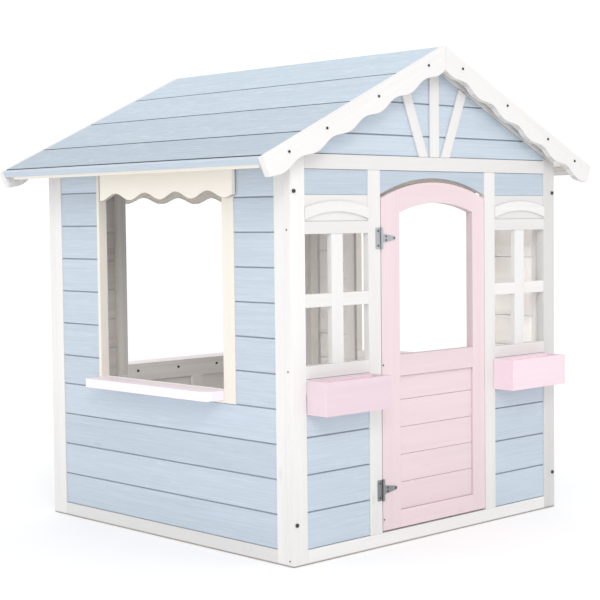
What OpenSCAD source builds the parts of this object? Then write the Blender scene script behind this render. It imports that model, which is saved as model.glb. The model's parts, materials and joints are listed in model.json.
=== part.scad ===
// Wooden garden playhouse: a gabled cabin on panel walls with one hinged door.
// Millimetres, +Z up, the front with the door faces -Y.
// Origin: on the ground, under the centre of the cabin.

/* [House] */
// Width across the front wall
house_w = 1120; // [1080:5:1160]
// Depth from the front wall's outer face to the back wall's
house_d = 1074; // [1040:2:1110]
// Height of the underside of the beams that close the front and back walls
beam_z = 1029; // [1015:1:1040]
// Depth of the frame timber, outer face to inner face
frame_t = 28; // [26:1:32]
// Width of the front and back corner posts
post_w = 52; // [46:1:58]
// Height of the bottom rails
rail_h = 38; // [32:1:44]
// Height of the beams
beam_h = 39; // [36:1:46]

/* [Boards] */
// Thickness of the wall boards
board_t = 12; // [10:1:13]
// How far the boards lie behind the frame's outer face
board_inset = 3; // [2:0.5:5]
// Spacing of the boards on the side and back walls
side_pitch = 92; // [90:1:94]
// Spacing of the boards under the front windows
front_pitch = 98; // [95:1:101]
// Open joint between neighbouring boards
joint_gap = 1; // [0.6:0.1:1.5]

/* [Front] */
// Width of the doorway between the jambs
doorway_w = 446; // [440:1:452]
// Width of a door jamb
jamb_w = 47; // [42:1:52]
// Height of the bottom edge of the front window panes
pane_z0 = 518; // [512:1:524]
// Height of the top edge of the front window panes
pane_z1 = 860; // [850:1:868]
// Width of the upright bar in each front window
bar_w = 43; // [36:1:48]
// Width of the cross bars in each front window
cross_bar_w = 35; // [28:1:40]
// Height of the top edge of the window head boards
head_z1 = 962; // [956:1:966]
// How far a planter stands out from the wall
planter_d = 73; // [60:1:80]
// Height of a planter
planter_h = 89; // [76:1:92]

/* [Door] */
// Clearance round the door
door_gap = 3; // [2:0.5:4]
// Thickness of the door
door_t = 24; // [20:1:28]
// Width of the door stile on the hinge side
door_stile_w = 73; // [64:1:78]
// Width of the door stile on the closing side
door_shut_stile_w = 53; // [48:1:60]
// Height of the crown of the door's arched top
door_crown_z = 998; // [990:1:1002]
// Radius of the door's arched top
door_arch_r = 560; // [540:5:600]
// Spacing of the boards in the lower door panel
door_pitch = 76.7; // [74:0.1:78]

/* [Side windows] */
// Lower edge of the shelf that fills the bottom of the opening
shelf_z = 414; // [410:1:418]
// Thickness of the shelf
shelf_t = 26; // [22:1:28]
// How far the shelf stands out from the wall
shelf_out = 62; // [50:1:72]
// Mean height of the scalloped edge of the valance
valance_z = 968; // [962:1:970]
// Length of one scallop of the valance
valance_wave = 137; // [130:1:144]

/* [Roof] */
// Slope of the roof in degrees
roof_pitch = 25; // [24:0.5:26]
// Height of the ridge
ridge_z = 1375; // [1365:1:1385]
// Half the width of the roof, ridge to eave
roof_half_w = 690; // [680:1:700]
// How far the roof boards reach past the front wall
overhang_front = 25; // [20:1:28]
// How far the roof boards reach past the back wall
overhang_back = 50.5; // [45:0.5:58]
// Thickness of the roof boards
roof_t = 15; // [12:1:16]
// Thickness of the barge boards
barge_t = 20; // [16:1:22]
// Mean width of a barge board, square to its slope
barge_w = 58; // [54:1:62]
// Length of one scallop of the barge boards, along the slope
barge_wave = 131.5; // [128:0.5:135]

/* [Hidden] */
$fn = 48;

white = [0.95, 0.94, 0.91];
cream = [0.95, 0.92, 0.85];
blue = [0.76, 0.82, 0.89];
pink = [0.95, 0.82, 0.85];
zinc = [0.68, 0.71, 0.74];
dark = [0.16, 0.16, 0.18];

half_w = house_w / 2;
half_d = house_d / 2;
post_x = half_w - post_w;          // inner edge of a corner post
jamb_x0 = doorway_w / 2;           // doorway edge of a jamb
jamb_x1 = jamb_x0 + jamb_w;        // window edge of a jamb
beam_top = beam_z + beam_h;
clear = 0.3;                       // gap that keeps neighbouring pieces apart

// Side walls run between the front and back walls.
side_y = half_d - frame_t;
stile_w = 34;
stile_y = side_y - stile_w;        // inner edge of a side wall's corner stile
side_sill_z = rail_h + 4 * side_pitch;
side_head_z = 1050;                // underside of a side wall's top rail
batten_t = frame_t - board_inset - board_t;
shelf_rail_h = 57;                 // rail inside the wall, its top level with the shelf's
mid_batten_w = 40;
rear_first_z = 493;                // first joint in the boards behind a side window

// Front windows.
pane_x = (jamb_x1 + post_x) / 2;   // middle of a front window
sill_h = 34;
planter_rail_z = 446;              // underside of the rail that carries a planter
planter_z = 392;

// Side window: a wide stile towards the front, a thin one towards the back.
side_win_front = 270;
side_win_back = 281;
front_stile_w = 47;
back_stile_w = 12;

// Back window, centred.
back_win = 288;
back_stile = 36;

// Door.
door_half = doorway_w / 2 - door_gap;
door_z0 = rail_h + 5;
door_x0 = door_stile_w - door_half;      // edges of the opening in the door
door_x1 = door_half - door_shut_stile_w;
door_light_crown = 941;
door_light_spring = 901;                 // below where the light's arch meets the stiles
door_light_r = 462;
door_mid_z0 = 464;
door_mid_z1 = 523;
door_low_z1 = 91;
header_crown = door_crown_z + 11;

// Roof, in a frame that starts at the ridge and runs down one slope.
slope_len = roof_half_w / cos(roof_pitch);
roof_y0 = -half_d - overhang_front;
roof_y1 = half_d + overhang_back;
eave_strip_t = 12;
rafter_w = 22;
rafter_h = 26;
rake_h = 38;
barge_end = 692 / cos(roof_pitch);
barge_swing = 6;                         // half the depth of a scallop
barge_crest = 122;                       // first crest, down the slope from the ridge
valance_swing = 10;
valance_t = 12;
valance_top = 1050;

// Height of the roof boards' underside, less a distance square to the slope, at a given x.
function under_roof(x, below = 0) =
    ridge_z - abs(x) * tan(roof_pitch) - (roof_t + clear + below) / cos(roof_pitch);

// A block given by two opposite corners.
module block(low, high) {
    translate(low) cube(high - low);
}

// An outline drawn in X and Z, extruded from y0 to y1.
module slab(y0, y1) {
    translate([0, y1, 0]) rotate([90, 0, 0]) linear_extrude(y1 - y0) children();
}

// The same piece on both sides of the centre plane.
module both_sides() {
    children();
    mirror([1, 0, 0]) children();
}

// The front wall's shape, turned round to the back wall.
module at_back() {
    mirror([0, 1, 0]) children();
}

// The frame of the left slope: X runs down from the ridge, Z points out of the roof.
module on_slope() {
    translate([0, 0, ridge_z]) mirror([1, 0, 0]) rotate([0, roof_pitch, 0]) children();
}

// Horizontal boards between two heights, with an open joint at each groove.
module board_stack(x0, x1, y0, y1, z0, z1, first, pitch) {
    lines = concat([z0], [for (z = [first : pitch : z1 - pitch / 8]) if (z > z0 + 1) z], [z1]);
    for (i = [0 : len(lines) - 2])
        block([x0, y0, lines[i] + joint_gap / 2], [x1, y1, lines[i + 1] - joint_gap / 2]);
}

// ---- Front and back walls ----

// A corner post, its top cut to the slope of the rake rail above it.
module corner_posts() {
    both_sides()
        slab(-half_d, -half_d + frame_t)
            polygon([[post_x, 0], [half_w, 0],
                     [half_w, under_roof(half_w, rake_h + clear)],
                     [post_x, under_roof(post_x, rake_h + clear)]]);
}

// Rails that follow the roof's slope over a gable wall, mitred at the ridge.
module rake_rails() {
    both_sides()
        slab(-half_d, -half_d + frame_t)
            polygon([[clear, under_roof(clear)], [half_w, under_roof(half_w)],
                     [half_w, under_roof(half_w, rake_h)], [clear, under_roof(clear, rake_h)]]);
}

// Boards of a gable, cut to the rake rails, over the beam.
module gable_boards() {
    y0 = -half_d + board_inset;
    lower_joint = 1125;
    upper_joint = 1215;
    lines = [beam_top, lower_joint, upper_joint, ridge_z];
    for (i = [0 : len(lines) - 2])
        intersection() {
            slab(y0, y0 + board_t)
                polygon([[-post_x, beam_top], [post_x, beam_top],
                         [post_x, under_roof(post_x, rake_h + clear)],
                         [0, under_roof(0, rake_h + clear)],
                         [-post_x, under_roof(post_x, rake_h + clear)]]);
            block([-half_w, -half_d, lines[i] + joint_gap / 2],
                  [half_w, half_d, lines[i + 1] - joint_gap / 2]);
        }
}

module front_corner_posts() {
    color(white) corner_posts();
}

module front_bottom_rail() {
    color(white)
        block([-post_x, -half_d, 0], [post_x, -half_d + frame_t, rail_h]);
}

module front_beam() {
    color(white)
        block([-post_x, -half_d, beam_z], [post_x, -half_d + frame_t, beam_top]);
}

module front_rake_rails() {
    color(white) rake_rails();
}

// A straight strut in the middle and one leaning out on each side, over the gable boards.
module gable_struts() {
    strut_w = 38;
    lean_w = 34;
    foot_x = 46;                         // middle of a leaning strut's foot
    lean = 22.5;
    long = 300;                          // before the struts are cut to the gable
    y0 = -half_d - board_inset;
    y1 = -half_d + board_inset;
    color(white) intersection() {
        slab(y0, y1) {
            translate([-strut_w / 2, beam_top]) square([strut_w, long]);
            for (side = [-1, 1])
                translate([side * foot_x, beam_top])
                    rotate(-side * lean)
                        translate([-lean_w / 2, -lean_w]) square([lean_w, long]);
        }
        difference() {
            slab(y0, y1)
                polygon([[-post_x, beam_top], [post_x, beam_top],
                         [0, under_roof(0, rake_h + clear)]]);
            // Joints between the middle strut and the feet of the leaning ones.
            for (side = [-1, 1])
                translate([side * (strut_w + joint_gap) / 2, 0, 0])
                    block([-joint_gap / 2, y0 - 1, beam_top], [joint_gap / 2, y1 + 1, ridge_z]);
        }
    }
}

module front_gable_boards() {
    color(blue) gable_boards();
}

// A strip over each window and the arched header over the door.
module front_top_boards() {
    y0 = -half_d + board_inset;
    y1 = y0 + board_t;
    header_z = head_z1 - 10;
    color(blue) {
        both_sides()
            block([jamb_x1 + clear, y0, head_z1 + clear], [post_x - clear, y1, beam_z - clear]);
        difference() {
            block([-jamb_x0 + clear, y0, header_z], [jamb_x0 - clear, y1, beam_z - clear]);
            translate([0, half_d, header_crown - door_arch_r])
                rotate([90, 0, 0]) cylinder(r = door_arch_r, h = 4 * half_d, $fn = 180);
        }
    }
}

module door_jambs() {
    jamb_t = 20;
    color(white) both_sides()
        block([jamb_x0, -half_d, rail_h], [jamb_x1, -half_d + jamb_t, beam_z]);
}

// A rail over each window's panes and the head board behind its arch.
module window_heads() {
    rail_top = 893;
    y1 = -half_d + frame_t;
    color(white) both_sides() {
        block([jamb_x1, -half_d, pane_z1], [post_x, y1, rail_top]);
        block([jamb_x1, -half_d + board_inset, rail_top + clear], [post_x, y1, head_z1]);
    }
}

// A curved band on each head board, round at the top and hollow at the bottom.
module window_arches() {
    low_crown = 918;
    low_r = 364;
    high_crown = 946;
    high_r = 420;
    y0 = -half_d - board_inset;
    y1 = -half_d + board_inset;
    color(white) both_sides()
        intersection() {
            block([jamb_x1 + clear, y0, pane_z1], [post_x - clear, y1, head_z1]);
            translate([pane_x, y1, 0]) rotate([90, 0, 0])
                difference() {
                    translate([0, high_crown - high_r, 0]) cylinder(r = high_r, h = y1 - y0, $fn = 180);
                    translate([0, low_crown - low_r, -1]) cylinder(r = low_r, h = y1 - y0 + 2, $fn = 180);
                }
        }
}

// An upright and two cross bars in each window.
module window_bars() {
    mid_z = 687;
    set_back = 1;
    bar_t = 17;
    low_x = pane_x - bar_w / 2;
    high_x = pane_x + bar_w / 2;
    y0 = -half_d + set_back;
    y1 = y0 + bar_t;
    color(white) both_sides() {
        block([low_x, y0, pane_z0], [high_x, y1, pane_z1]);
        block([jamb_x1, y0, mid_z - cross_bar_w / 2], [low_x - clear, y1, mid_z + cross_bar_w / 2]);
        block([high_x + clear, y0, mid_z - cross_bar_w / 2], [post_x, y1, mid_z + cross_bar_w / 2]);
    }
}

// A sill rail under the panes and the rail that carries the planter.
module window_sills() {
    y1 = -half_d + frame_t;
    color(white) both_sides() {
        block([jamb_x1, -half_d, pane_z0 - sill_h], [post_x, y1, pane_z0]);
        block([jamb_x1, -half_d, planter_rail_z], [post_x, y1, pane_z0 - sill_h - joint_gap]);
    }
}

module front_lower_boards() {
    y0 = -half_d + board_inset;
    color(blue) both_sides()
        board_stack(jamb_x1 + clear, post_x - clear, y0, y0 + board_t,
                    rail_h, planter_rail_z, rail_h + front_pitch, front_pitch);
}

// An open box for plants under the right window; its outer end is over the post or flush with it.
module planter(over_post = 0) {
    wall = 11;
    over_jamb = 8;
    x0 = jamb_x1 - over_jamb;
    x1 = post_x + over_post;
    top = planter_z + planter_h;
    color(pink) difference() {
        block([x0, -half_d - planter_d, planter_z], [x1, -half_d - clear, top]);
        block([x0 + wall, -half_d - planter_d + wall, planter_z + wall],
              [x1 - wall, -half_d - wall, top + 1]);
    }
}

module left_planter() {
    mirror([1, 0, 0]) planter();
}

module right_planter() {
    planter(over_post = 8);
}

// ---- Side walls, drawn for the left and mirrored for the right ----

module side_corner_stiles() {
    color(white) for (y = [-side_y, stile_y])
        block([-half_w, y, 0], [-half_w + frame_t, y + stile_w, side_head_z]);
}

// A bottom rail between the stiles, and a top rail whose top follows the roof.
module side_rails() {
    color(white) {
        block([-half_w, -stile_y, 0], [-half_w + frame_t, stile_y, rail_h]);
        slab(-side_y, side_y)
            polygon([[-half_w, side_head_z + clear], [-half_w + frame_t, side_head_z + clear],
                     [-half_w + frame_t, under_roof(half_w - frame_t)], [-half_w, under_roof(half_w)]]);
    }
}

module side_window_stiles() {
    color(cream) {
        block([-half_w, -side_win_front - front_stile_w, side_sill_z],
              [-half_w + frame_t, -side_win_front, side_head_z]);
        block([-half_w, side_win_back, side_sill_z],
              [-half_w + frame_t, side_win_back + back_stile_w, side_head_z]);
    }
}

// The outer rail that the shelf rests on, as deep as the boards.
module side_sill_rail() {
    color(cream)
        block([-half_w, -side_win_front, side_sill_z],
              [-half_w + board_inset + board_t, side_win_back, shelf_z]);
}

module side_wall_boards() {
    x0 = -half_w + board_inset;
    x1 = x0 + board_t;
    front_y = -side_win_front - front_stile_w;
    back_y = side_win_back + back_stile_w;
    color(blue) {
        board_stack(x0, x1, -stile_y + clear, stile_y - clear, rail_h, side_sill_z,
                    rail_h + side_pitch, side_pitch);
        board_stack(x0, x1, -stile_y + clear, front_y - clear, side_sill_z, side_head_z,
                    side_sill_z + side_pitch, side_pitch);
        board_stack(x0, x1, back_y + clear, stile_y - clear, side_sill_z, side_head_z,
                    rear_first_z, front_pitch);
    }
}

// A board with a scalloped lower edge; x runs along it and crest is the x of one crest.
module scalloped(x0, x1, z_top, z_mean, crest, wave) {
    step = wave / 18;
    count = ceil((x1 - x0) / step);
    edge = [for (i = [0 : count])
        let (x = x0 + (x1 - x0) * i / count)
            [x, z_mean + valance_swing * cos(360 * (x - crest) / wave)]];
    polygon(concat([[x1, z_top], [x0, z_top]], edge));
}

module side_valance() {
    // Measured along the wall from its middle, towards the front.
    back_end = -258;
    front_end = 327;
    crest = -47;
    color(cream)
        translate([-half_w - valance_t, 0, 0]) rotate([0, 0, 90]) mirror([1, 0, 0])
            slab(-valance_t, 0)
                scalloped(back_end, front_end, valance_top, valance_z, crest, valance_wave);
}

// The shelf fills the opening up to the inner rail and stands out of the wall.
module side_shelf() {
    front_r = 25;
    back_r = 8;
    x0 = -half_w - shelf_out;
    depth = shelf_out + board_inset + board_t - clear;
    y0 = -side_win_front + clear;
    y1 = side_win_back - clear;
    color(pink) translate([0, 0, shelf_z])
        linear_extrude(shelf_t) {
            translate([x0 + front_r, y0 + front_r]) circle(front_r);
            translate([x0 + back_r, y1 - back_r]) circle(back_r);
            translate([x0, y0 + front_r]) square([front_r, y1 - y0 - front_r - back_r]);
            translate([x0 + front_r, y0]) square([depth - front_r, y1 - y0]);
            translate([x0 + back_r, y1 - front_r]) square([front_r - back_r, front_r]);
        }
}

// Battens behind the boards: the rail behind the shelf, one below it and one each side.
module side_inner_battens() {
    x0 = -half_w + board_inset + board_t;
    x1 = x0 + batten_t;
    top = shelf_z + shelf_t;
    low = top - shelf_rail_h;
    back_y = side_win_back + front_stile_w;
    color(white) {
        block([x0, -side_win_front + clear, low], [x1, side_win_back - clear, top]);
        block([x0, -mid_batten_w / 2, rail_h], [x1, mid_batten_w / 2, low - clear]);
        block([x0, -side_win_front - front_stile_w, rail_h], [x1, -side_win_front, side_sill_z]);
        block([x0, side_win_back, rail_h], [x1, back_y, side_sill_z]);
        block([x0, side_win_back + back_stile_w + clear, side_sill_z + clear],
              [x1, back_y, side_head_z]);
    }
}

module left_corner_stiles() { side_corner_stiles(); }
module left_rails() { side_rails(); }
module left_window_stiles() { side_window_stiles(); }
module left_sill_rail() { side_sill_rail(); }
module left_wall_boards() { side_wall_boards(); }
module left_valance() { side_valance(); }
module left_shelf() { side_shelf(); }
module left_inner_battens() { side_inner_battens(); }

module right_corner_stiles() { mirror([1, 0, 0]) side_corner_stiles(); }
module right_rails() { mirror([1, 0, 0]) side_rails(); }
module right_window_stiles() { mirror([1, 0, 0]) side_window_stiles(); }
module right_sill_rail() { mirror([1, 0, 0]) side_sill_rail(); }
module right_wall_boards() { mirror([1, 0, 0]) side_wall_boards(); }
module right_valance() { mirror([1, 0, 0]) side_valance(); }
module right_shelf() { mirror([1, 0, 0]) side_shelf(); }
module right_inner_battens() { mirror([1, 0, 0]) side_inner_battens(); }

// ---- Back wall ----

module back_corner_posts() {
    color(white) at_back() corner_posts();
}

// The bottom rail and the beam under the back gable.
module back_rails() {
    color(white) at_back() {
        block([-post_x, -half_d, 0], [post_x, -half_d + frame_t, rail_h]);
        block([-post_x, -half_d, beam_z], [post_x, -half_d + frame_t, beam_top]);
    }
}

module back_rake_rails() {
    color(white) at_back() rake_rails();
}

module back_gable_boards() {
    color(blue) at_back() gable_boards();
}

module back_window_stiles() {
    color(cream) at_back() both_sides()
        block([back_win, -half_d, side_sill_z], [back_win + back_stile, -half_d + frame_t, beam_z]);
}

module back_sill_rail() {
    color(cream) at_back()
        block([-back_win, -half_d, side_sill_z],
              [back_win, -half_d + board_inset + board_t, shelf_z]);
}

module back_wall_boards() {
    y0 = -half_d + board_inset;
    y1 = y0 + board_t;
    color(blue) at_back() {
        board_stack(-post_x + clear, post_x - clear, y0, y1, rail_h, side_sill_z,
                    rail_h + side_pitch, side_pitch);
        both_sides()
            board_stack(back_win + back_stile + clear, post_x - clear, y0, y1, side_sill_z, beam_z,
                        side_sill_z + side_pitch, side_pitch);
    }
}

module back_valance() {
    reach = back_win + back_stile / 2;
    crest = 101;
    wave = 145;
    drop = 4;                          // lower than the side valances
    color(cream) at_back()
        slab(-half_d - valance_t, -half_d)
            scalloped(-reach, reach, valance_top, valance_z - drop, crest, wave);
}

module back_shelf() {
    corner_r = 25;
    reach = back_win - clear;
    depth = shelf_out + board_inset + board_t - clear;
    y0 = -half_d - shelf_out;
    color(pink) at_back() translate([0, 0, shelf_z])
        linear_extrude(shelf_t) {
            for (side = [-1, 1])
                translate([side * (reach - corner_r), y0 + corner_r]) circle(corner_r);
            translate([-reach + corner_r, y0]) square([2 * (reach - corner_r), corner_r]);
            translate([-reach, y0 + corner_r]) square([2 * reach, depth - corner_r]);
        }
}

module back_inner_battens() {
    y0 = -half_d + board_inset + board_t;
    y1 = y0 + batten_t;
    top = shelf_z + shelf_t;
    low = top - shelf_rail_h;
    color(white) at_back() {
        block([-back_win + clear, y0, low], [back_win - clear, y1, top]);
        block([-mid_batten_w / 2, y0, rail_h], [mid_batten_w / 2, y1, low - clear]);
        both_sides()
            block([back_win, y0, rail_h], [back_win + back_stile, y1, side_sill_z]);
    }
}

// ---- Roof ----

// Four boards down one slope; the ridge board is cut plumb where it meets its neighbour.
module slope_boards() {
    low_w = 150;
    mid_w = 198;
    low_end = slope_len - eave_strip_t;
    ridge_board_end = low_end - low_w - 2 * mid_w;
    lines = [ridge_board_end, ridge_board_end + mid_w, low_end - low_w, low_end];
    slab(roof_y0, roof_y1)
        polygon([[clear, 0], [ridge_board_end - joint_gap / 2, 0],
                 [ridge_board_end - joint_gap / 2, -roof_t],
                 [roof_t * tan(roof_pitch) + clear, -roof_t]]);
    for (i = [0 : len(lines) - 2])
        block([lines[i] + joint_gap / 2, roof_y0, -roof_t], [lines[i + 1] - joint_gap / 2, roof_y1, 0]);
}

module left_roof_boards() {
    color(blue) on_slope() slope_boards();
}

module right_roof_boards() {
    color(blue) mirror([1, 0, 0]) on_slope() slope_boards();
}

// A strip on edge that closes each eave.
module eave_strips() {
    strip_h = 19;
    drop = 1.5;
    color(blue) both_sides() on_slope()
        block([slope_len - eave_strip_t, roof_y0, -drop - strip_h], [slope_len, roof_y1, -drop]);
}

// The pale batten behind each eave strip.
module eave_battens() {
    batten_w = 20;
    batten_h = 19;
    top = -roof_t - clear;
    outer = slope_len - eave_strip_t - clear;
    color(cream) both_sides() on_slope()
        block([outer - batten_w, roof_y0 + rafter_w + clear, top - batten_h],
              [outer, roof_y1 - rafter_w - clear, top]);
}

// Rafters under the boards: one at each end of the roof and one inside, on each slope.
module roof_rafters() {
    top = -roof_t - clear;
    low = top - rafter_h;
    start = -low * tan(roof_pitch) + clear;
    outer_end = slope_len - eave_strip_t - clear;
    inner_end = (half_w - frame_t) / cos(roof_pitch) + low * tan(roof_pitch) - 2;
    color(white) both_sides() on_slope() {
        block([start, roof_y0, low], [outer_end, roof_y0 + rafter_w, top]);
        block([start, roof_y1 - rafter_w, low], [outer_end, roof_y1, top]);
        block([start, -rafter_w / 2, low], [inner_end, rafter_w / 2, top]);
    }
}

// A barge board's outline: straight along the roof, scalloped below, plumb at the ridge.
module barge_outline() {
    count = 104;
    ridge_cut = function (t) t * tan(roof_pitch) + clear;
    edge = [for (i = [0 : count])
        let (s = barge_end * i / count,
             t = barge_w - barge_swing * cos(360 * (s - barge_crest) / barge_wave))
            if (s > ridge_cut(t)) [s, -t]];
    first_t = -edge[0][1];
    polygon(concat([[barge_end, 0], [ridge_cut(0), 0], [ridge_cut(first_t), -first_t]], edge));
}

// The pair of barge boards on one end of the roof, between two y values.
module barge_pair(y0, y1) {
    color(white) both_sides() on_slope() slab(y0, y1) barge_outline();
}

module front_barge_boards() {
    barge_pair(roof_y0 - barge_t, roof_y0 - clear);
}

module back_barge_boards() {
    barge_pair(roof_y1 + clear, roof_y1 + barge_t);
}

// ---- Door ----

module door_stiles() {
    color(pink) intersection() {
        for (x = [[-door_half, door_x0], [door_x1, door_half]])
            block([x[0], -half_d, door_z0], [x[1], -half_d + door_t, door_crown_z]);
        translate([0, -half_d + door_t + 1, door_crown_z - door_arch_r])
            rotate([90, 0, 0]) cylinder(r = door_arch_r, h = door_t + 2, $fn = 180);
    }
}

module door_top_rail() {
    color(pink) intersection() {
        block([door_x0, -half_d, door_light_spring], [door_x1, -half_d + door_t, door_crown_z]);
        translate([0, -half_d + door_t, 0]) rotate([90, 0, 0])
            difference() {
                translate([0, door_crown_z - door_arch_r, 0])
                    cylinder(r = door_arch_r, h = door_t, $fn = 180);
                translate([(door_x0 + door_x1) / 2, door_light_crown - door_light_r, -1])
                    cylinder(r = door_light_r, h = door_t + 2, $fn = 180);
            }
    }
}

module door_mid_rail() {
    color(pink)
        block([door_x0, -half_d, door_mid_z0], [door_x1, -half_d + door_t, door_mid_z1]);
}

module door_bottom_rail() {
    color(pink)
        block([door_x0, -half_d, door_z0], [door_x1, -half_d + door_t, door_low_z1]);
}

module door_boards() {
    inset = 6;
    color(pink)
        board_stack(door_x0 + clear, door_x1 - clear, -half_d + inset, -half_d + inset + board_t,
                    door_low_z1, door_mid_z0, door_low_z1 + door_pitch, door_pitch);
}

// ---- Hardware ----

hinge_x = -(doorway_w / 2 + door_half) / 2;
pin_out = 4;                       // from the door's face to the middle of the pin
hinge_z = [845, 157];
knuckle_r = 3.6;
plate_h = 57;
plate_reach = 21;
leaf_t = 2;
pin_r = 1.8;
pin_cap_h = 1.5;
strap_knuckle_h = 24;
screw_head_h = 1.2;

// The fixed leaf on the jamb, with its two knuckles and the pin.
module hinge_plates() {
    gap_h = strap_knuckle_h / 2 + clear;
    side_h = plate_h / 2 - gap_h;
    leaf_y = pin_out - leaf_t;
    screw_x = -13.5;
    color(zinc) for (z = hinge_z)
        translate([hinge_x, -half_d - pin_out, z]) {
            difference() {
                block([-plate_reach, leaf_y, -plate_h / 2], [0, pin_out, plate_h / 2]);
                block([-knuckle_r - 1, -knuckle_r, -gap_h], [1, pin_out + 1, gap_h]);
            }
            for (low = [-plate_h / 2, gap_h])
                translate([0, 0, low]) cylinder(r = knuckle_r, h = side_h);
            translate([0, 0, -plate_h / 2 - pin_cap_h]) cylinder(r = pin_r, h = plate_h + 2 * pin_cap_h);
            for (end = [-plate_h / 2 - pin_cap_h, plate_h / 2])
                translate([0, 0, end]) cylinder(r = pin_r + 1, h = pin_cap_h);
            for (screw_z = [-20, 20])
                translate([screw_x, leaf_y, screw_z])
                    rotate([90, 0, 0]) cylinder(r = 3.2, h = screw_head_h);
        }
}

// The moving leaf: a knuckle and a strap that tapers to a round tip.
module hinge_straps() {
    root = strap_knuckle_h / 2;
    root_x = 9;
    tip_x = 52;
    tip_r = 5;
    leaf_y = pin_out - leaf_t;
    running_gap = 0.06;
    color(zinc) for (z = hinge_z)
        translate([hinge_x, -half_d - pin_out, z])
            difference() {
                union() {
                    translate([0, 0, -root]) cylinder(r = knuckle_r, h = strap_knuckle_h);
                    slab(leaf_y, pin_out) {
                        polygon([[0, -root], [root_x, -root], [tip_x, -tip_r],
                                 [tip_x, tip_r], [root_x, root], [0, root]]);
                        translate([tip_x, 0]) circle(tip_r);
                    }
                    for (spot = [[18, 5], [18, -5], [50, 0]])
                        translate([spot[0], leaf_y, spot[1]])
                            rotate([90, 0, 0]) cylinder(r = 3, h = screw_head_h);
                }
                translate([0, 0, -root - 1]) cylinder(r = pin_r + running_gap, h = strap_knuckle_h + 2);
            }
}

// A fastener whose shank runs along -Z from the underside of its head.
module fastener(head_r, head_h, shank_r, shank_l, sides = 48) {
    cylinder(r = head_r, h = head_h, $fn = sides);
    translate([0, 0, -shank_l]) cylinder(r = shank_r, h = shank_l);
}

// Hexagon-headed bolts through the gable walls' posts, and smaller ones behind the back shelf.
module frame_bolts() {
    from_edge = 12;
    bolt_z = [109, 971];
    into_stile = 22;
    rail_bolt_x = [-250, -83, 83, 250];
    into_shelf = 12;
    color(dark) {
        for (x = [-half_w + from_edge, half_w - from_edge], z = bolt_z, end = [-1, 1])
            translate([x, end * half_d, z]) rotate([end * -90, 0, 0])
                fastener(head_r = 5.5, head_h = 4, shank_r = 3, shank_l = frame_t + into_stile, sides = 6);
        for (x = rail_bolt_x)
            translate([x, half_d - frame_t, shelf_z + 3]) rotate([90, 0, 0])
                fastener(head_r = 4, head_h = 3, shank_r = 2, shank_l = batten_t + into_shelf);
    }
}

// Round-headed screws through the barge boards into the end rafters, four in each.
module barge_bolts() {
    below_edge = 23;
    down_slope = [91, 313, 528, 677];
    into_rafter = 16;
    color(dark) both_sides() on_slope()
        for (s = down_slope, end = [-1, 1])
            translate([s, end > 0 ? roof_y1 + barge_t : roof_y0 - barge_t, -below_edge])
                rotate([end * -90, 0, 0])
                    fastener(head_r = 3.5, head_h = 2.5, shank_r = 2, shank_l = barge_t + into_rafter);
}

// Small screws through the edges of the front posts into the ends of the rails.
module edge_screws() {
    into_rail = 18;
    color(dark) both_sides()
        for (z = [15, 507, 872])
            translate([half_w, -half_d + frame_t / 2, z]) rotate([0, 90, 0])
                fastener(head_r = 2.5, head_h = 1, shank_r = 1.5, shank_l = post_w + into_rail);
}

// Small screws through the hinge stile of the door, level with its rails.
module door_screws() {
    from_edge = 3.5;
    into_stile = 16;
    color(dark) for (z = [74, 499])
        translate([-door_half + from_edge, -half_d, z]) rotate([90, 0, 0])
            fastener(head_r = 2.5, head_h = 1, shank_r = 1.5, shank_l = into_stile);
}

front_corner_posts();
front_bottom_rail();
front_beam();
front_rake_rails();
gable_struts();
front_gable_boards();
front_top_boards();
door_jambs();
window_heads();
window_arches();
window_bars();
window_sills();
front_lower_boards();
left_planter();
right_planter();
left_corner_stiles();
left_rails();
left_window_stiles();
left_sill_rail();
left_wall_boards();
left_valance();
left_shelf();
left_inner_battens();
right_corner_stiles();
right_rails();
right_window_stiles();
right_sill_rail();
right_wall_boards();
right_valance();
right_shelf();
right_inner_battens();
back_corner_posts();
back_rails();
back_rake_rails();
back_gable_boards();
back_window_stiles();
back_sill_rail();
back_wall_boards();
back_valance();
back_shelf();
back_inner_battens();
left_roof_boards();
right_roof_boards();
eave_strips();
eave_battens();
roof_rafters();
front_barge_boards();
back_barge_boards();
door_stiles();
door_top_rail();
door_mid_rail();
door_bottom_rail();
door_boards();
hinge_plates();
hinge_straps();
frame_bolts();
barge_bolts();
edge_screws();
door_screws();
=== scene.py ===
"""The look of a painted wooden playhouse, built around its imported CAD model.

Every CAD node is rebuilt from its own mesh, with rounded arrises, V-joints and grain. Lengths are in metres.
"""

import json
import math
import random

import bmesh
import bpy
from mathutils import Matrix, Vector


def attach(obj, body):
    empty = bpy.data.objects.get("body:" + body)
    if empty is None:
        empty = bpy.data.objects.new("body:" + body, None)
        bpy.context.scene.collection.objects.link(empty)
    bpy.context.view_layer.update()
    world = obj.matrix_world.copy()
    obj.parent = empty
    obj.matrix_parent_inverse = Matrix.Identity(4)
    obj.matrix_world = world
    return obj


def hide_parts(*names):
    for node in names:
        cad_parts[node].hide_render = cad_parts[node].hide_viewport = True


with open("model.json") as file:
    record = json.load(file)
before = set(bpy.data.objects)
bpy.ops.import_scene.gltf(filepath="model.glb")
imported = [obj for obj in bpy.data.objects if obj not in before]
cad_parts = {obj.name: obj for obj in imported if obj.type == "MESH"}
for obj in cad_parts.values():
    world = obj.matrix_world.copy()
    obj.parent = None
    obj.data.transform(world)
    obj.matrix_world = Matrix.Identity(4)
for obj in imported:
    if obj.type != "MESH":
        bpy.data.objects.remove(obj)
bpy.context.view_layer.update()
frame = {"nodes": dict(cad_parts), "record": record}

BODY_OF = {node: body for body, nodes in frame["record"]["behaviour"]["bodies"].items() for node in nodes}
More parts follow.
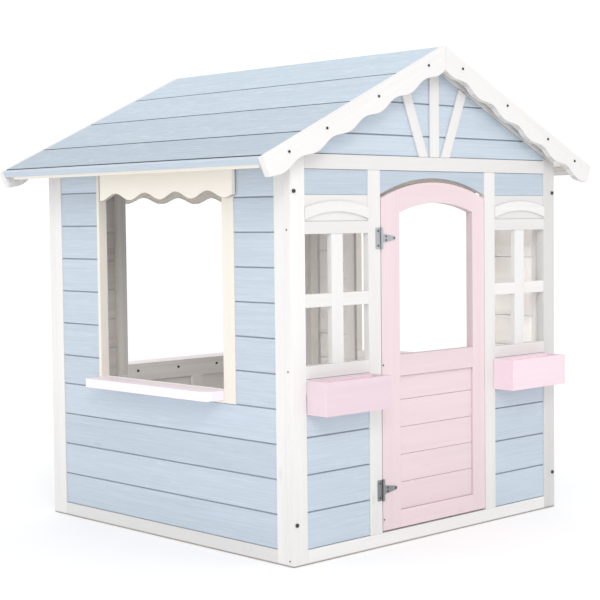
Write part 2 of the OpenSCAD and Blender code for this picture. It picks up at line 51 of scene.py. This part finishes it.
SLOT_OF = {s["node"]: s["material_slot"] for s in frame["record"]["subparts"]}

X, Y, Z = Vector((1, 0, 0)), Vector((0, 1, 0)), Vector((0, 0, 1))
LEFT, RIGHT = -1, 1
PITCH = math.radians(25)  # of the roof
DOWN_ROOF = {side: Vector((side * math.cos(PITCH), 0, -math.sin(PITCH))) for side in (LEFT, RIGHT)}
OUT_OF_ROOF = {side: Vector((side * math.sin(PITCH), 0, math.cos(PITCH))) for side in (LEFT, RIGHT)}


# ---- Materials ----

# Colours of what shows in the paint or where it is missing, and of the painted shadow at the ground.
BARE_WOOD = (0.73, 0.71, 0.69)
THIN_PAINT = (0.86, 0.90, 0.94, 1.0)
KNOT = (0.42, 0.36, 0.31, 1.0)
WORN_ARRIS = (0.80, 0.78, 0.75, 1.0)
# Painted shadow along the line where the house meets the ground.
GROUND_SHADOW = (0.22, 0.17, 0.13, 1.0)

# Patterns: how much the noise is stretched along and across the grain, or along X, Y and Z in metal.
FINE_GRAIN = (5, 300, 300)
BROAD_GRAIN = (1.0, 30, 30)
PATCHES = (2.2, 6, 6)
RINGS = (0.9, 42, 42)
FIBRES = (6, 420, 420)
KNOTS = (2.6, 7.5, 7.5)
SPANGLE = (420, 420, 420)
SMEARS = (60, 60, 25)

# Values between which a ramp rises from 0 to 1.
THIN_LINES = (0.56, 0.72)
KNOT_RADII = (0.02, 0.075)
NEAR_GROUND = (0.0, 0.5)
# heights over which the painted shadow at the ground fades out
GROUND_SHADOW_HEIGHTS = (0.001, 0.0055)
# heights over which the painted shade inside the cabin deepens towards the roof
TOWARDS_ROOF = (0.3, 1.0)


class Graph:
    """A material whose nodes are added with one call each."""

    def __init__(self, name):
        self.material = bpy.data.materials.new(name)
        self.material.use_nodes = True
        self.tree = self.material.node_tree
        self.shader = self.tree.nodes["Principled BSDF"]

    def put(self, socket, value):
        if isinstance(value, bpy.types.NodeSocket):
            self.tree.links.new(value, socket)
        else:
            socket.default_value = value

    def add(self, kind, inputs=None, **settings):
        node = self.tree.nodes.new(kind)
        for key, value in settings.items():
            setattr(node, key, value)
        for key, value in (inputs or {}).items():
            self.put(node.inputs[key], value)
        return node

    def attribute(self, name, output="Fac"):
        return self.add("ShaderNodeAttribute", attribute_name=name).outputs[output]

    def where(self):
        return self.add("ShaderNodeTexCoord").outputs["Object"]

    def height(self):
        """Height above the ground."""
        return self.add("ShaderNodeSeparateXYZ", {0: self.where()}).outputs[2]

    def math(self, operation, a, b=0.0, c=0.0, clamp=False):
        return self.add("ShaderNodeMath", {0: a, 1: b, 2: c}, operation=operation, use_clamp=clamp).outputs[0]

    def vary(self, level, value, amount):
        """The level, raised where value is above 0.5 and lowered where it is below."""
        return self.math("MULTIPLY_ADD", self.math("SUBTRACT", value, 0.5), amount, level)

    def stretched(self, vector, scale):
        return self.add("ShaderNodeVectorMath", {0: vector, 1: scale}, operation="MULTIPLY").outputs[0]

    def noise(self, vector, scale, detail=2.0, rough=0.5, distortion=0.0):
        """Noise over a vector that is first stretched by scale along each axis."""
        return self.add(
            "ShaderNodeTexNoise",
            {
                "Vector": self.stretched(vector, scale),
                "Scale": 1.0,
                "Detail": detail,
                "Roughness": rough,
                "Distortion": distortion,
            },
        ).outputs[0]

    def ramp(self, value, limits):
        """0 below the lower limit, 1 above the upper one, smooth between."""
        return self.add(
            "ShaderNodeMapRange",
            {"Value": value, "From Min": limits[0], "From Max": limits[1]},
            interpolation_type="SMOOTHSTEP",
        ).outputs[0]

    def mix(self, factor, a, b):
        node = self.add("ShaderNodeMix", data_type="RGBA")
        for key, value in (("Factor_Float", factor), ("A_Color", a), ("B_Color", b)):
            self.put(next(s for s in node.inputs if s.identifier == key), value)
        return next(s for s in node.outputs if s.identifier == "Result_Color")

    def scaled(self, colour, amount):
        return self.add("ShaderNodeVectorMath", {0: colour, "Scale": amount}, operation="SCALE").outputs[0]

    def shaded(self, colour):
        """The colour, made darker or lighter by the painted light and shade stored on each face."""
        return self.scaled(colour, self.math("ADD", 1.0, self.attribute("shade")))

    def bump(self, height, strength, depth):
        inputs = {"Strength": strength, "Distance": depth, "Height": height}
        return self.add("ShaderNodeBump", inputs).outputs[0]

    def finish(self, **sockets):
        for key, value in sockets.items():
            self.put(self.shader.inputs[key.replace("_", " ")], value)
        return self.material


def bare_wood(g, grain, tint):
    """Colour of sawn softwood that is thinly whitewashed, with painted shade that darkens it towards the roof.
    """
    level = g.math("MULTIPLY_ADD", g.noise(grain, RINGS, detail=3.0, distortion=0.6), 0.5, 0.68)
    level = g.math("MULTIPLY_ADD", g.noise(grain, FIBRES), 0.14, level)
    level = g.math("MULTIPLY_ADD", tint, 0.16, level)
    # Painted shade: lighter low in the cabin, darker under the roof.
    light = g.math("MULTIPLY_ADD", g.ramp(g.height(), TOWARDS_ROOF), -0.30, 1.12)
    level = g.math("MULTIPLY", level, light)
    return g.scaled(BARE_WOOD, level)


def paint(name, colour, streaks, rings=0.05, tint_by=0.02, thin=0.0, thin_scale=None):
    """Satin paint over softwood.

    streaks, rings and tint_by say how much the fine grain, the broad grain and the piece itself change the
    brightness. thin is how strong the pale lines are where the paint is thin, and thin_scale is their pattern.
    """
    g = Graph(name)
    grain = g.attribute("grain", "Vector")
    tint = g.attribute("tint")
    inside = g.attribute("inside")
    height = g.height()
    fine = g.noise(grain, FINE_GRAIN, detail=3.0, rough=0.6)
    broad = g.noise(grain, BROAD_GRAIN, distortion=0.8)

    level = g.vary(1.0, fine, streaks * 2)
    level = g.vary(level, broad, rings * 2)
    level = g.vary(level, g.noise(grain, PATCHES), 0.05)
    level = g.vary(level, tint, tint_by * 2)
    base = g.scaled(colour, level)
    if thin:
        lines = g.ramp(g.noise(grain, thin_scale), THIN_LINES)
        base = g.mix(g.math("MULTIPLY", lines, thin), base, THIN_PAINT)
    cells = g.add("ShaderNodeTexVoronoi", {"Vector": g.stretched(grain, KNOTS), "Scale": 1.0})
    knot = g.math("SUBTRACT", 1.0, g.ramp(cells.outputs["Distance"], KNOT_RADII))
    base = g.mix(g.math("MULTIPLY", knot, 0.16), base, KNOT)
    base = g.mix(g.math("MULTIPLY", g.attribute("wear"), 0.22), base, WORN_ARRIS)

    # A little darker in the lowest half metre, with a dark line of painted shadow at the ground.
    base = g.scaled(base, g.math("MULTIPLY_ADD", g.ramp(height, NEAR_GROUND), 0.075, 0.925))
    ground_shadow_mask = g.math("SUBTRACT", 1.0, g.ramp(height, GROUND_SHADOW_HEIGHTS))
    base = g.mix(g.math("MULTIPLY", ground_shadow_mask, 0.85), base, GROUND_SHADOW)

    relief = g.math("MULTIPLY_ADD", fine, 0.55, g.math("MULTIPLY", broad, 0.6))
    relief = g.math("MULTIPLY_ADD", knot, -0.4, relief)
    shine = g.vary(0.52, fine, 0.25)
    return g.finish(
        Base_Color=g.shaded(g.mix(inside, base, bare_wood(g, grain, tint))),
        Roughness=g.math("MULTIPLY_ADD", inside, 0.2, shine, clamp=True),
        Normal=g.bump(relief, 0.25, 0.0007),
    )


def raw_timber(name):
    g = Graph(name)
    grain = g.attribute("grain", "Vector")
    return g.finish(
        Base_Color=g.shaded(bare_wood(g, grain, g.attribute("tint"))),
        Roughness=0.75,
        Normal=g.bump(g.noise(grain, FIBRES), 0.4, 0.0008),
    )


def metal(name, colour, rough, metallic):
    """Plated steel, with a fine spangle and soft smears."""
    g = Graph(name)
    spangle = g.noise(g.where(), SPANGLE, detail=3.0)
    smear = g.noise(g.where(), SMEARS)
    level = g.vary(g.vary(1.0, spangle, 0.3), smear, 0.3)
    return g.finish(
        Base_Color=g.shaded(g.scaled(colour, level)),
        Roughness=g.vary(rough, spangle, 0.3),
        Normal=g.bump(spangle, 0.2, 0.0002),
        Metallic=metallic,
    )


MATERIALS = {
    "white_paint": paint("white_paint", (0.80, 0.79, 0.785), streaks=0.05),
    "cream_paint": paint("cream_paint", (0.93, 0.885, 0.80), streaks=0.03, rings=0.03),
    "blue_paint": paint(
        "blue_paint", (0.51, 0.59, 0.675), streaks=0.17, tint_by=0.03, thin=0.16, thin_scale=(16, 380, 380)
    ),
    "roof_paint": paint(
        "roof_paint", (0.415, 0.50, 0.58), streaks=0.28, tint_by=0.04, thin=0.36, thin_scale=(20, 300, 300)
    ),
    "pink_paint": paint("pink_paint", (0.74, 0.595, 0.655), streaks=0.04, rings=0.04),
    "door_paint": paint("door_paint", (0.745, 0.61, 0.64), streaks=0.06),
    # A paler copy of the pink paint: painted light for the brightly lit shelves.
    "lit_shelf_paint": paint("lit_shelf_paint", (0.90, 0.80, 0.86), streaks=0.04, rings=0.04),
    "bare_wood": raw_timber("bare_wood"),
    "zinc_plate": metal("zinc_plate", (0.66, 0.69, 0.72), rough=0.38, metallic=1.0),
    "dark_steel": metal("dark_steel", (0.05, 0.05, 0.055), rough=0.42, metallic=0.6),
}


# ---- What is known of the pieces ----

HARDWARE = ("hinge_plates", "hinge_straps", "frame_bolts", "barge_bolts", "edge_screws", "door_screws")

# The grain's direction in pieces whose longest edge doesn't follow it.
ALONG = {
    "front_top_boards": X, "window_heads": X, "window_arches": X, "left_planter": X, "right_planter": X,
    "door_top_rail": X, "back_valance": X, "back_shelf": X, "left_valance": Y, "right_valance": Y,
    "left_shelf": Y, "right_shelf": Y,
}

# Boards with V-joints: along them, out of their painted face, across them, and their kind.
BOARDS = {
    "left_wall_boards": (Y, -X, Z, "wall"),
    "right_wall_boards": (Y, X, Z, "wall"),
    "back_wall_boards": (X, Y, Z, "wall"),
    "front_lower_boards": (X, -Y, Z, "lower"),
    "front_gable_boards": (X, -Y, Z, "gable"),
    "back_gable_boards": (X, Y, Z, "gable"),
    "door_boards": (X, -Y, Z, "door"),
    "left_roof_boards": (Y, OUT_OF_ROOF[LEFT], -DOWN_ROOF[LEFT], "roof"),
    "right_roof_boards": (Y, OUT_OF_ROOF[RIGHT], -DOWN_ROOF[RIGHT], "roof"),
}

# Of each kind of board: the width of its chamfers, how far the tongue stops short of the board's ends, and
# how much painted shade darkens the chamfers, or painted light lightens them.
JOINTS = {
    "roof": (0.0027, 0.002, -0.8),
    "wall": (0.0019, 0.002, -0.3),
    "lower": (0.0019, 0.002, -0.38),
    "gable": (0.0019, 0.012, -0.4),
    "door": (0.0011, 0.002, 0.1),
}

# Painted light and shade on whole pieces: how much darker or lighter each is made. The edge screws' entry
# instead gives them their own pale colour.
PIECE_SHADE = {
    "front_beam": -0.13, "window_heads": -0.11, "window_arches": -0.06, "window_bars": -0.04,
    "window_sills": -0.05, "door_jambs": -0.07, "gable_struts": -0.08, "front_rake_rails": -0.06,
    "front_barge_boards": -0.05, "left_window_stiles": -0.1, "right_window_stiles": -0.1,
    "front_top_boards": -0.11, "edge_screws": 2.0, "right_planter": 0.14, "left_rails": -0.08,
    "left_valance": 0.07, "door_bottom_rail": 0.07, "door_mid_rail": -0.04, "eave_battens": -0.05,
    "left_inner_battens": 0.3, "right_inner_battens": 0.4, "back_inner_battens": 0.3,
    "back_shelf": 0.14, "left_shelf": 0.06,
}

# Painted light and shade on the unpainted faces inside the cabin: lighter where light through the windows falls,
# darker at the back. The first name that a node's name starts with counts.
INSIDE_SHADE = {
    "right_wall_boards": 0.95,
    "right_window_stiles": -0.1,
    "right": 0.65,
    "back_wall_boards": -0.2,
    "back_corner_posts": 0.2,
    "back": -0.15,
}

# Painted shade on undersides: faces whose normal has a z below the first number are darker by the second.
UNDERSIDES = {
    "door_mid_rail": (-0.5, 0.6),
    "front_beam": (-0.7, 0.5),
    "front_top_boards": (-0.3, 0.15),
    "left_valance": (-0.3, 0.55),
    "right_valance": (-0.3, 0.55),
    "back_valance": (-0.3, 0.55),
}

HINGE_SCREW_HEADS = (-0.5404, -0.5398)  # between these y lie the heads' faces
HINGE_SCREW_SHADE = -0.85
UPPER_HINGE_SHADE, LOWER_HINGE_SHADE = -0.3, -0.6
BETWEEN_HINGES_Z = 0.5
# Painted shade of the screw recesses.
RECESS_SHADE = -0.9
WORN_ABOVE = -0.2  # arrises are rubbed on faces with a shade above this

PLANTER_HOLLOW_Y = (-0.600, -0.547)
PLANTER_RIM_Z = 0.479
# Painted light in the planters' hollows and on their ends, and painted shade on their fronts.
PLANTER_HOLLOW_SHADE, PLANTER_END_SHADE, PLANTER_FRONT_SHADE = 0.3, 0.04, -0.03

# Painted shade on the right front corner post.
RIGHT_POST_SHADE = -0.2
# Painted light on the faces towards the left of these pieces.
LEFT_FACING = ("door_jambs", "window_bars", "front_corner_posts")  # their faces towards the left are lighter
LEFT_FACING_SHADE = 0.16
CABIN_HALF_WIDTH = 0.53
ROOF_HALF_WIDTH = 0.69
RIDGE_SHADE, EAVE_DROP = 0.19, 0.29  # of the roof boards: at the ridge, and less by this at the eave
# Painted light on the wall boards above the windows, where the eave's shade falls.
TOP_BOARD_Z, TOP_BOARD_SHADE = 0.96, 0.12  # wall boards above the windows

# Faces that look inward from within these limits are unpainted.
SIDE_WALL_INNER_X, SIDE_WALL_REACH_Y = 0.549, 0.512
END_WALL_INNER_Y, END_WALL_REACH_X = 0.526, 0.535


def faces_inward(face):
    """True where a face of a wall or roof is only seen from inside the cabin."""
    c, n = face.calc_center_median(), face.normal
    if n.z < -0.8 and abs(n.x) > 0.3:
        return True
    if abs(n.x) > 0.9 and c.x * n.x < 0 and abs(c.x) < SIDE_WALL_INNER_X and abs(c.y) < SIDE_WALL_REACH_Y:
        return True
    return abs(n.y) > 0.9 and c.y * n.y < 0 and abs(c.y) < END_WALL_INNER_Y and abs(c.x) < END_WALL_REACH_X


def hinge_shade(c, n):
    if n.y < -0.99 and HINGE_SCREW_HEADS[0] < c.y < HINGE_SCREW_HEADS[1]:
        return HINGE_SCREW_SHADE
    return UPPER_HINGE_SHADE if c.z > BETWEEN_HINGES_Z else LOWER_HINGE_SHADE


# Painted light and shade on one face of a planter.
def planter_shade(c, n):
    within = PLANTER_HOLLOW_Y[0] < c.y < PLANTER_HOLLOW_Y[1] and c.z < PLANTER_RIM_Z
    if within and (n.z > 0.9 or abs(n.y) > 0.9):
        return PLANTER_HOLLOW_SHADE
    return PLANTER_END_SHADE if abs(n.x) > 0.9 else PLANTER_FRONT_SHADE


def shade_of(node, face):
    """The painted light and shade of one face: how much darker or lighter its colour is made."""
    c, n = face.calc_center_median(), face.normal
    shade = PIECE_SHADE.get(node, 0.0)
    if "hinge" in node:
        return hinge_shade(c, n)
    if "planter" in node:
        return shade + planter_shade(c, n)
    if node == "front_corner_posts" and c.x > 0:
        shade += RIGHT_POST_SHADE
    if node in LEFT_FACING and n.x < -0.9 and abs(c.x) < CABIN_HALF_WIDTH:
        shade += LEFT_FACING_SHADE
    if "roof_boards" in node:
        shade += RIDGE_SHADE - EAVE_DROP * abs(c.x) / ROOF_HALF_WIDTH
    if "wall_boards" in node and c.z > TOP_BOARD_Z:
        shade += TOP_BOARD_SHADE
    if node in UNDERSIDES:
        limit, darker = UNDERSIDES[node]
        if n.z < limit:
            shade -= darker
    if node in BOARDS:
        _, out, _, kind = BOARDS[node]
        if 0.6 < n.dot(out) < 0.8:
            shade += JOINTS[kind][2]
    return shade


# ---- Shaping the pieces ----

ALIGNED = 0.99  # least cosine between two directions that count as one
ARRIS, HARDWARE_ARRIS = 0.0011, 0.0003
ARRIS_ANGLE, BOARD_EDGE_ANGLE = 50, 25  # least angles, in degrees, of the edges that are rounded or chamfered
TONGUE_T, TONGUE_SUNK, TONGUE_RISE = 0.004, 0.001, 0.006
SHORTEST_TONGUED = 0.05
GRAIN_SHIFT = 8  # furthest that a piece's grain is moved along each axis, so that no two look the same
MERGE_DISTANCE, FLAT_ANGLE = 2e-6, math.radians(0.6)

# Round screw heads and the crosses of painted shade on them.
HEAD_SIDES, HEAD_SPAN = 24, (0.004, 0.0075)
HEAD_SUNK = 0.00004
CROSS_LOW, CROSS_TOP = 0.0004, 0.00001  # below the CAD's head
CROSS_ARM, CROSS_T = 0.33, 0.06  # half length and half width, as parts of the head's span


def islands(bm):
    """The separate solids of a mesh, as lists of faces."""
    left = set(bm.faces)
    found = []
    for face in bm.faces:
        if face not in left:
            continue
        left.discard(face)
        stack, island = [face], []
        while stack:
            f = stack.pop()
            island.append(f)
            for e in f.edges:
                for other in e.link_faces:
                    if other in left:
                        left.discard(other)
                        stack.append(other)
        found.append(island)
    return found


def solids(node):
    """Each solid of a CAD node as a mesh of its own, with flat faces merged, from the lowest up."""
    whole = bmesh.new()
    whole.from_mesh(frame["nodes"][node].data)
    bmesh.ops.remove_doubles(whole, verts=whole.verts, dist=MERGE_DISTANCE)
    bmesh.ops.dissolve_limit(whole, angle_limit=FLAT_ANGLE, verts=whole.verts, edges=whole.edges)
    out = []
    for island in islands(whole):
        bm = bmesh.new()
        copies = {}
        for face in island:
            for v in face.verts:
                if v not in copies:
                    copies[v] = bm.verts.new(v.co)
            bm.faces.new([copies[v] for v in face.verts])
        bm.normal_update()
        out.append(bm)
    whole.free()
    out.sort(key=lambda bm: tuple(round(sum(v.co[i] for v in bm.verts) / len(bm.verts), 4) for i in (2, 1, 0)))
    return out


def direction(edge):
    return (edge.verts[1].co - edge.verts[0].co).normalized()


def longest_edge(bm):
    return direction(max(bm.edges, key=lambda e: e.calc_length()))


def sharp(edge, degrees):
    return len(edge.link_faces) == 2 and edge.calc_face_angle(0) > math.radians(degrees)


def bevel(bm, edges, offset, segments):
    result = bmesh.ops.bevel(
        bm, geom=edges, offset=offset, segments=segments, profile=0.5, affect="EDGES", clamp_overlap=True
    )
    return result["faces"]


def add_box(bm, low, high, axes):
    """A box between two corners given along three axes; returns its faces."""
    c = []
    for i in (0, 1):
        for j in (0, 1):
            for k in (0, 1):
                at = (low, high)[i][0], (low, high)[j][1], (low, high)[k][2]
                c.append(bm.verts.new(axes[0] * at[0] + axes[1] * at[1] + axes[2] * at[2]))
    quads = ((0, 1, 3, 2), (4, 6, 7, 5), (0, 4, 5, 1), (2, 3, 7, 6), (0, 2, 6, 4), (1, 5, 7, 3))
    faces = [bm.faces.new([c[i] for i in quad]) for quad in quads]
    bmesh.ops.recalc_face_normals(bm, faces=faces)
    return faces


def add_recesses(bm):
    """A dark cross of painted shade on each round screw head, standing in for its recess.

    The head's face is lowered a little, so that the cross shows on it and stays within the CAD's shape.
    """
    made = []
    for face in list(bm.faces):
        n, c = face.normal, face.calc_center_median()
        span = max(((a.co - b.co).length for a in face.verts for b in face.verts), default=0)
        if len(face.verts) < HEAD_SIDES or not HEAD_SPAN[0] < span < HEAD_SPAN[1] or abs(n.z) > 0.5:
            continue
        across = n.cross(Z).normalized()
        up = across.cross(n)
        x, y, z = c.dot(across), c.dot(n), c.dot(up)
        arm, thick = span * CROSS_ARM, span * CROSS_T
        for v in face.verts:
            v.co -= n * HEAD_SUNK
        for a, b in ((arm, thick), (thick, arm)):
            low, high = (x - a, y - CROSS_LOW, z - b), (x + a, y - CROSS_TOP, z + b)
            made += add_box(bm, low, high, (across, n, up))
    return made


def cut_joints(bm, node):
    """Chamfers the long edges of a board's painted face.

    Returns the lowest and highest corner of its upper face along the board's axes, or None where no tongue fits.
    """
    axis, out, across, kind = BOARDS[node]
    top = max(bm.faces, key=lambda f: f.normal.dot(across) * 10 + f.calc_center_median().dot(across))
    spans = [[v.co.dot(a) for v in top.verts] for a in (axis, out, across)]
    low, high = [min(s) for s in spans], [max(s) for s in spans]
    level = top.normal.dot(across) > ALIGNED
    edges = [
        e
        for e in bm.edges
        if sharp(e, BOARD_EDGE_ANGLE)
        and abs(direction(e).dot(axis)) > ALIGNED
        and any(f.normal.dot(out) > ALIGNED for f in e.link_faces)
    ]
    bevel(bm, edges, JOINTS[kind][0], 1)
    bm.normal_update()
    return (low, high) if level and high[0] - low[0] > SHORTEST_TONGUED else None


def add_tongue(bm, node, low, high):
    """A strip on a board's upper face that closes the joint to the next board."""
    axis, out, across, kind = BOARDS[node]
    middle, inset = (low[1] + high[1]) / 2, JOINTS[kind][1]
    start = low[0] + inset, middle - TONGUE_T / 2, low[2] - TONGUE_SUNK
    end = high[0] - inset, middle + TONGUE_T / 2, high[2] + TONGUE_RISE
    add_box(bm, start, end, (axis, out, across))


def refine(node, material, painted_inside):
    """A finished piece in place of a CAD node: each solid gets rounded arrises and grain of its own."""
    rng = random.Random(node)
    total = bmesh.new()
    grain = total.verts.layers.float_vector.new("grain")
    layers = {k: total.faces.layers.float.new(k) for k in ("tint", "wear", "inside", "shade")}
    for bm in solids(node):
        axis = BOARDS[node][0] if node in BOARDS else ALONG.get(node) or longest_edge(bm)
        tongue = cut_joints(bm, node) if node in BOARDS else None
        arris = HARDWARE_ARRIS if node in HARDWARE else ARRIS
        worn = set(bevel(bm, [e for e in bm.edges if sharp(e, ARRIS_ANGLE)], arris, 2))
        if tongue:
            add_tongue(bm, node, *tongue)
        bm.normal_update()
        recess = set(add_recesses(bm)) if node in HARDWARE and node != "frame_bolts" else ()

        side = Z if abs(axis.z) < 0.8 else X
        second = axis.cross(side).normalized()
        third = axis.cross(second)
        shift = Vector([rng.uniform(-GRAIN_SHIFT, GRAIN_SHIFT) for _ in range(3)])
        tint = rng.random()
        copies = {}
        for face in bm.faces:
            for v in face.verts:
                if v not in copies:
                    copies[v] = total.verts.new(v.co)
                    copies[v][grain] = Vector((v.co.dot(axis), v.co.dot(second), v.co.dot(third))) + shift
            new = total.faces.new([copies[v] for v in face.verts])
            new.smooth = True
            unpainted = not painted_inside and faces_inward(face)
            if face in recess:
                shade = RECESS_SHADE
            elif unpainted:
                shade = next((v for k, v in INSIDE_SHADE.items() if node.startswith(k)), 0.0)
            else:
                shade = shade_of(node, face)
            new[layers["tint"]] = tint
            new[layers["wear"]] = 1.0 if face in worn and shade > WORN_ABOVE else 0.0
            new[layers["shade"]] = shade
            new[layers["inside"]] = 1.0 if unpainted else 0.0
        bm.free()
    mesh = bpy.data.meshes.new(node + "_fine")
    total.to_mesh(mesh)
    total.free()
    piece = bpy.data.objects.new(node + "_fine", mesh)
    bpy.context.scene.collection.objects.link(piece)
    piece.modifiers.new("flat_faces", "WEIGHTED_NORMAL").keep_sharp = True
    mesh.materials.append(MATERIALS[material])
    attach(piece, BODY_OF[node])
    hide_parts(node)


def material_of(node):
    if node in HARDWARE:
        return SLOT_OF[node]
    if BODY_OF[node] == "door":
        return "door_paint"
    if "roof_boards" in node:
        return "roof_paint"
    return "lit_shelf_paint" if "shelf" in node else SLOT_OF[node]


for node in frame["nodes"]:
    painted = node in HARDWARE or BODY_OF[node] == "door" or "planter" in node or "shelf" in node
    refine(node, material_of(node), painted_inside=painted)


# ---- Floor, light and camera ----


def stage_floor():
    mesh = bpy.data.meshes.new("floor")
    bm = bmesh.new()
    bmesh.ops.create_grid(bm, x_segments=1, y_segments=1, size=40)
    bm.to_mesh(mesh)
    bm.free()
    floor = bpy.data.objects.new("floor", mesh)
    bpy.context.scene.collection.objects.link(floor)
    floor.location.z = -0.0005
    g = Graph("floor")
    level = g.math("MULTIPLY_ADD", g.noise(g.where(), (2, 2, 2)), 0.01, 0.985)
    mesh.materials.append(g.finish(Base_Color=g.scaled((0.97, 0.97, 0.97), level), Roughness=0.9))


def light_studio():
    """An even white surround, and one large soft lamp at the front left."""
    scene = bpy.context.scene
    scene.world = bpy.data.worlds.new("studio")
    scene.world.use_nodes = True
    surround = scene.world.node_tree.nodes["Background"]
    surround.inputs["Color"].default_value = (1, 1, 1, 1)
    surround.inputs["Strength"].default_value = 1.07
    light = bpy.data.lights.new("key", "AREA")
    light.shape = "DISK"
    light.size = 2.4
    light.energy = 120
    light.color = (1, 0.995, 0.98)
    lamp = bpy.data.objects.new("key", light)
    scene.collection.objects.link(lamp)
    lamp.location = (-4.4, -5.2, 4.4)
    aim = Vector((0, 0, 0.6)) - lamp.location
    lamp.rotation_euler = aim.to_track_quat("-Z", "Y").to_euler()


def place_camera():
    azimuth, elevation, roll = (math.radians(a) for a in (-43.91, 3.14, -0.62))
    level = math.cos(elevation)
    back = Vector((math.sin(azimuth) * level, -math.cos(azimuth) * level, math.sin(elevation)))
    right = (-back).cross(Z).normalized()
    up = right.cross(-back)
    across = math.cos(roll) * right + math.sin(roll) * up
    upward = math.cos(roll) * up - math.sin(roll) * right
    camera = bpy.data.objects.new("camera", bpy.data.cameras.new("camera"))
    bpy.context.scene.collection.objects.link(camera)
    camera.data.sensor_width = 36
    camera.data.lens = 87.9
    camera.data.clip_end = 200
    turn = Matrix((across, upward, back)).transposed().to_4x4()
    camera.matrix_world = Matrix.Translation((-3.1353, -3.2452, 0.8978)) @ turn
    bpy.context.scene.camera = camera


stage_floor()
light_studio()
place_camera()
bpy.context.scene.view_settings.view_transform = "Standard"
